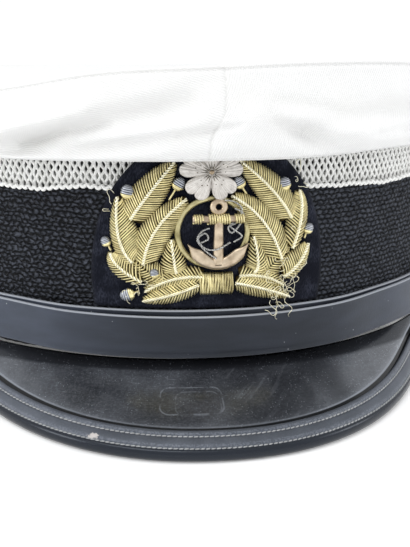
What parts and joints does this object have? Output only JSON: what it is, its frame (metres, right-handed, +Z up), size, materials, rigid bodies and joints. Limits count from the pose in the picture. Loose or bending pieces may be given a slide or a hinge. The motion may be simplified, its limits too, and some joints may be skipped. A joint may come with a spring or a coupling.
{
  "type": "peaked naval cap",
  "caption": "Peaked naval officer's cap: white twill crown over a net and black knitted band, embroidered anchor wreath badge, chin strap and shiny black peak.",
  "frame": {"origin": "middle of the cap's outline on the surface that it rests on", "axes": "+Z up, -Y to the front over the peak, +X to the right of someone who looks at its front"},
  "size_m": [0.235, 0.2522, 0.0956],
  "materials": {
    "lining": "dark smooth headband, matt sheen",
    "white_net": "open cotton net, soft white",
    "black_knit": "coarse knitted mohair, near black, fuzzy",
    "white_twill": "white cotton twill with fine diagonal lines",
    "peak_shine": "glossy black, dusty and finely scratched",
    "peak_binding": "glossy black with two lines of pale stitching",
    "strap_leather": "dark blue grey, semi-gloss, pale edges",
    "black_button": "plain black, slightly glossy",
    "navy_felt": "dark navy felt, matt",
    "gold_wire": "gold bullion wire embroidery",
    "olive_gold": "dull olive gold strip",
    "copper_gilt": "copper pink gilt, worn",
    "silver_wire": "tarnished silver wire embroidery"
  },
  "bodies": {
    "root": {"anchor": "copper_gilt", "anchor_rope": "silver_wire", "badge_ground": "navy_felt", "badge_ring": "olive_gold", "badge_tie": "gold_wire", "blossom": "silver_wire", "bud_left_1": "silver_wire", "bud_left_2": "silver_wire", "bud_left_3": "silver_wire", "bud_left_4": "silver_wire", "bud_left_5": "silver_wire", "bud_right_1": "silver_wire", "bud_right_2": "silver_wire", "bud_right_3": "silver_wire", "button_left": "black_button", "button_right": "black_button", "chin_strap_front": "strap_leather", "chin_strap_rear": "strap_leather", "crown": "white_twill", "headband": "lining", "knit_band": "black_knit", "leaf_left_1": "gold_wire", "leaf_left_2": "gold_wire", "leaf_left_3": "gold_wire", "leaf_left_4": "gold_wire", "leaf_left_5": "gold_wire", "leaf_left_6": "gold_wire", "leaf_right_1": "gold_wire", "leaf_right_2": "gold_wire", "leaf_right_3": "gold_wire", "leaf_right_4": "gold_wire", "leaf_right_5": "gold_wire", "leaf_right_6": "gold_wire", "net_band": "white_net", "peak": "peak_shine", "peak_binding": "peak_binding"}
  },
  "joints": []
}
